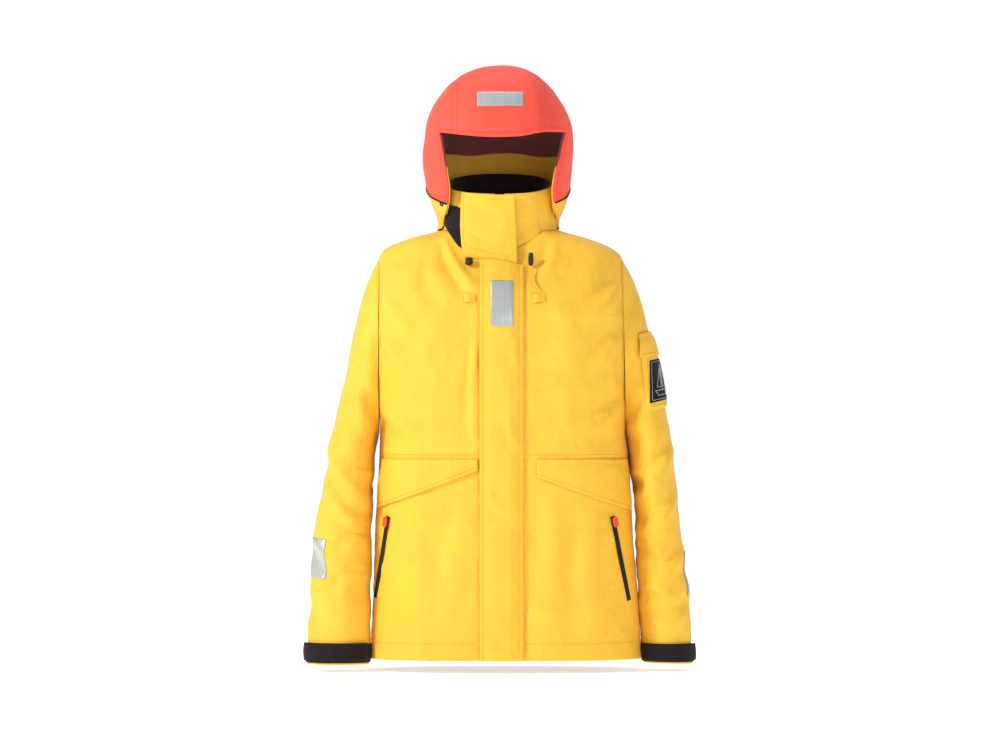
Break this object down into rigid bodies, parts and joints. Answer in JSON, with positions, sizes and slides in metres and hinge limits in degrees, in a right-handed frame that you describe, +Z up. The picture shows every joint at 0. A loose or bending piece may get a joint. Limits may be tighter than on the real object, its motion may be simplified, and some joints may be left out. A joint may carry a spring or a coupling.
{
  "type": "foul weather jacket",
  "caption": "Hooded yellow foul weather sailing jacket with storm flap, flapped front pockets, tip-back orange hood, sleeve pocket and adjustable black cuffs.",
  "frame": {"origin": "centre of the hanger loop's bearing face, inside the back of the neck", "axes": "+Z up, -Y towards the front of the jacket, +X towards the wearer's left"},
  "size_m": [0.6904, 0.2821, 1.0572],
  "materials": {
    "yellow_shell": "satin",
    "orange_shell": "satin",
    "body_lining": "matte",
    "hood_lining_dark": "matte",
    "reflective_tape": "satin",
    "fleece": "matte",
    "black_webbing": "matte",
    "hook_and_loop": "matte",
    "zip_tape": "matte",
    "black_plastic": "matte",
    "zip_metal": "satin",
    "orange_pull": "matte",
    "drawcord": "matte"
  },
  "bodies": {
    "jacket": {"back_panel": "yellow_shell", "back_yoke": "yellow_shell", "lining_back": "body_lining", "collar_shell": "yellow_shell", "collar_lining": "fleece", "hanger_loop": "black_webbing", "main_zip_tape_right": "zip_tape", "main_zip_tape_left": "zip_tape", "main_zip_chain": "black_plastic", "collar_zip_chain": "black_plastic", "placket_loop_strip": "hook_and_loop", "collar_loop_patch": "hook_and_loop", "cord_lock_right": "black_plastic", "cord_end_left": "black_plastic", "drawcord_left": "drawcord", "front_lower_right": "yellow_shell", "front_upper_right": "yellow_shell", "lining_front_right": "body_lining", "chest_tab_right": "yellow_shell", "pocket_bag_right": "body_lining", "pocket_zip_right": "zip_tape", "front_lower_left": "yellow_shell", "front_upper_left": "yellow_shell", "lining_front_left": "body_lining", "chest_tab_left": "yellow_shell", "pocket_bag_left": "body_lining", "pocket_zip_left": "zip_tape"},
    "storm_flap": {"storm_flap": "yellow_shell", "chest_reflector": "reflective_tape", "placket_hook_strip": "hook_and_loop"},
    "chin_flap": {"chin_flap": "yellow_shell"},
    "zip_slider_upper": {"main_slider_upper": "zip_metal", "main_pull_upper": "black_plastic"},
    "zip_slider_lower": {"main_slider_lower": "zip_metal", "main_pull_lower": "black_plastic"},
    "hood": {"hood_nape": "yellow_shell", "hood_centre_panel": "orange_shell", "hood_side_right": "orange_shell", "hood_side_left": "orange_shell", "hood_lining_upper": "hood_lining_dark", "hood_lining_lower": "yellow_shell", "hood_reflector": "reflective_tape"},
    "sleeve_pocket_flap": {"sleeve_pocket_flap": "yellow_shell"},
    "pocket_flap_right": {"pocket_flap_right": "yellow_shell"},
    "pocket_slider_right": {"pocket_slider_right": "zip_metal", "pocket_pull_right": "orange_pull"},
    "sleeve_right": {"sleeve_right": "yellow_shell", "cuff_band_right": "black_webbing", "sleeve_reflector_right": "reflective_tape"},
    "cuff_tab_right": {"cuff_tab_right": "black_webbing"},
    "pocket_flap_left": {"pocket_flap_left": "yellow_shell"},
    "pocket_slider_left": {"pocket_slider_left": "zip_metal", "pocket_pull_left": "orange_pull"},
    "sleeve_left": {"sleeve_left": "yellow_shell", "cuff_band_left": "black_webbing", "sleeve_reflector_left": "reflective_tape", "sleeve_pocket": "yellow_shell", "sleeve_badge": "black_webbing"},
    "cuff_tab_left": {"cuff_tab_left": "black_webbing"}
  },
  "joints": [
    {"name": "storm_flap_hinge", "type": "hinge", "parent": "jacket", "child": "storm_flap", "pos_m": [0.0415, -0.2138, -0.418], "axis": [0, 0, 1], "range_deg": [0, 100]},
    {"name": "chin_flap_hinge", "type": "hinge", "parent": "jacket", "child": "chin_flap", "pos_m": [0.03, -0.1802, -0.005], "axis": [0, 0, 1], "range_deg": [0, 100]},
    {"name": "main_zip_upper", "type": "slide", "parent": "jacket", "child": "zip_slider_upper", "axis": [-0.0386, 0.0169, 0.9991], "range_m": [-0.024, 0]},
    {"name": "main_zip_lower", "type": "slide", "parent": "jacket", "child": "zip_slider_lower", "axis": [0, 0, 1], "range_m": [0, 0.5]},
    {"name": "hood_tip", "type": "hinge", "parent": "jacket", "child": "hood", "pos_m": [-0.003, 0.0241, -0.018], "axis": [-1, 0, 0], "range_deg": [0, 55]},
    {"name": "pocket_flap_right_hinge", "type": "hinge", "parent": "jacket", "child": "pocket_flap_right", "pos_m": [-0.14157, -0.19685, -0.40992], "axis": [-0.8877, 0.4604, 0.0008], "range_deg": [0, 110]},
    {"name": "pocket_zip_right_slide", "type": "slide", "parent": "jacket", "child": "pocket_slider_right", "axis": [0.154, -0.2166, 0.964], "range_m": [-0.12, 0]},
    {"name": "shoulder_right", "type": "hinge", "parent": "jacket", "child": "sleeve_right", "pos_m": [-0.214, -0.0712, -0.054], "axis": [0, 1, 0], "range_deg": [0, 45]},
    {"name": "cuff_tab_right_hinge", "type": "hinge", "parent": "sleeve_right", "child": "cuff_tab_right", "pos_m": [-0.23434, -0.14554, -0.74963], "axis": [0.023, 0.0502, 0.9985], "range_deg": [0, 65]},
    {"name": "pocket_flap_left_hinge", "type": "hinge", "parent": "jacket", "child": "pocket_flap_left", "pos_m": [0.16004, -0.19307, -0.40984], "axis": [-0.8718, -0.4899, -0.0016], "range_deg": [0, 110]},
    {"name": "pocket_zip_left_slide", "type": "slide", "parent": "jacket", "child": "pocket_slider_left", "axis": [-0.1901, -0.1517, 0.97], "range_m": [-0.12, 0]},
    {"name": "shoulder_left", "type": "hinge", "parent": "jacket", "child": "sleeve_left", "pos_m": [0.215, -0.0712, -0.054], "axis": [0, -1, 0], "range_deg": [0, 45]},
    {"name": "cuff_tab_left_hinge", "type": "hinge", "parent": "sleeve_left", "child": "cuff_tab_left", "pos_m": [0.25412, -0.11725, -0.7497], "axis": [0.0503, 0.0269, -0.9984], "range_deg": [0, 65]},
    {"name": "sleeve_pocket_flap_hinge", "type": "hinge", "parent": "sleeve_left", "child": "sleeve_pocket_flap", "pos_m": [0.26854, -0.08896, -0.18426], "axis": [-0.1607, -0.9862, -0.0389], "range_deg": [0, 110]}
  ]
}
